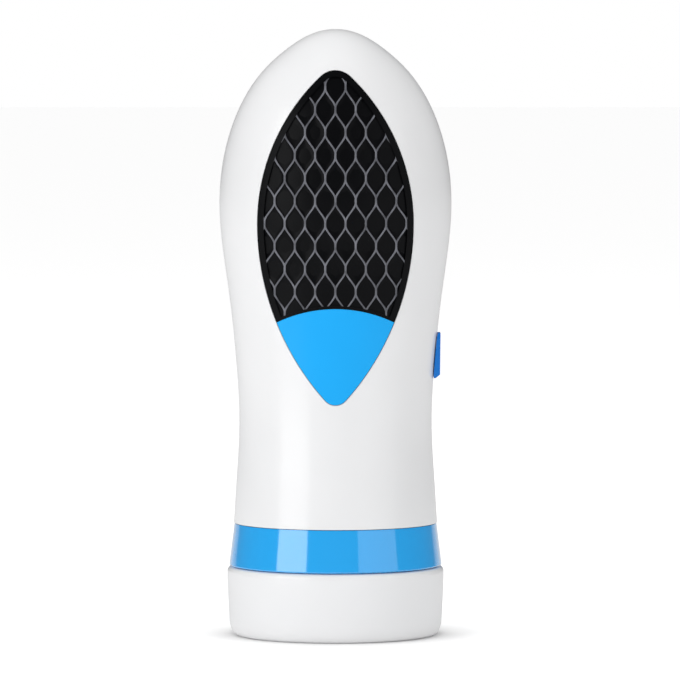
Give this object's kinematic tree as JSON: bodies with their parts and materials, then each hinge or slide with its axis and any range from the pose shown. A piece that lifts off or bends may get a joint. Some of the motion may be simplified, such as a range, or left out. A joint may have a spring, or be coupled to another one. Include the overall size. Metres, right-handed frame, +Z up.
{
  "type": "electric callus remover",
  "caption": "Hand-held battery callus remover: oval white casing with a textured grip panel, blue head ring with a geared abrasive disc, side slide switch, battery door and a stand-on cap.",
  "frame": {"origin": "centre of the flat foot of the protective cap, which the device stands on", "axes": "+Z up along the spindle to the crown of the head; -Y is the front with the grip panel; +X is the side with the slide switch"},
  "size_m": [0.0554, 0.0519, 0.145],
  "materials": {
    "white_gloss": "glossy",
    "blue_gloss": "glossy",
    "black_grip": "satin, raised lattice",
    "screw_steel": "zinc plated",
    "natural_plastic": "moulded",
    "cell_sleeve": "sleeved cell",
    "contact_steel": "nickel plated",
    "bronze": "sintered",
    "felt": "felt",
    "foam": "closed-cell foam",
    "motor_steel": "plated sheet",
    "black_plastic": "moulded",
    "terminal_brass": "tinned",
    "ferrite": "ferrite",
    "shaft_steel": "ground",
    "lamination": "laminated",
    "copper": "enamelled wire",
    "pinion_brass": "hobbed",
    "gear_plastic": "acetal",
    "carrier_plastic": "moulded",
    "abrasive": "grit",
    "switch_steel": "pressed",
    "lead_red": "insulated lead",
    "lead_black": "insulated lead"
  },
  "bodies": {
    "housing": {"front_shell": "white_gloss", "back_shell": "white_gloss", "shell_screws": "screw_steel", "grip_pad": "black_grip", "grip_tip": "blue_gloss", "battery_tray": "natural_plastic", "tray_screws": "screw_steel", "battery_left": "cell_sleeve", "battery_right": "cell_sleeve", "contact_negative": "contact_steel", "contact_positive": "contact_steel", "contact_bridge": "contact_steel", "contact_spring_lower": "contact_steel", "contact_spring_upper": "contact_steel", "head_ring": "blue_gloss", "bush_lower": "bronze", "bush_upper": "bronze", "dust_seal": "felt", "motor_plate": "natural_plastic", "plate_screws": "screw_steel", "motor_can": "motor_steel", "motor_endcap": "black_plastic", "motor_terminals": "terminal_brass", "motor_magnets": "ferrite", "switch_frame": "switch_steel", "switch_base": "black_plastic", "switch_terminals": "terminal_brass", "lead_negative": "lead_black", "lead_positive": "lead_red", "lead_switched": "lead_red"},
    "cap": {"cap": "white_gloss"},
    "disc": {"spindle": "shaft_steel", "spindle_clip": "shaft_steel", "thrust_washer": "shaft_steel", "drive_gear": "gear_plastic", "disc_carrier": "carrier_plastic", "carrier_screw": "screw_steel", "abrasive_disc": "abrasive"},
    "rotor": {"motor_shaft": "shaft_steel", "motor_armature": "lamination", "motor_windings": "copper", "motor_pinion": "pinion_brass"},
    "button": {"switch_button": "blue_gloss", "switch_lever": "black_plastic"},
    "door": {"battery_door": "white_gloss", "door_foam": "foam"}
  },
  "joints": [
    {"name": "cap_lift_off", "type": "slide", "parent": "cap", "child": "housing", "axis": [0, 0, 1], "range_m": [0, 0.03]},
    {"name": "disc_spin", "type": "hinge", "parent": "housing", "child": "disc", "pos_m": [0, 0, 0.0255], "axis": [0, 0, 1], "continuous": true},
    {"name": "motor_spin", "type": "hinge", "parent": "housing", "child": "rotor", "pos_m": [0, -0.0105, 0.0255], "axis": [0, 0, 1], "continuous": true},
    {"name": "switch_slide", "type": "slide", "parent": "housing", "child": "button", "axis": [0.0867, 0, 0.9962], "range_m": [0, 0.0025]},
    {"name": "door_hinge", "type": "hinge", "parent": "housing", "child": "door", "pos_m": [0, 0.02202, 0.058], "axis": [-1, 0, 0], "range_deg": [0, 60]}
  ],
  "couplings": [
    {"joint": "motor_spin", "follows": "disc_spin", "ratio": -3.2}
  ]
}
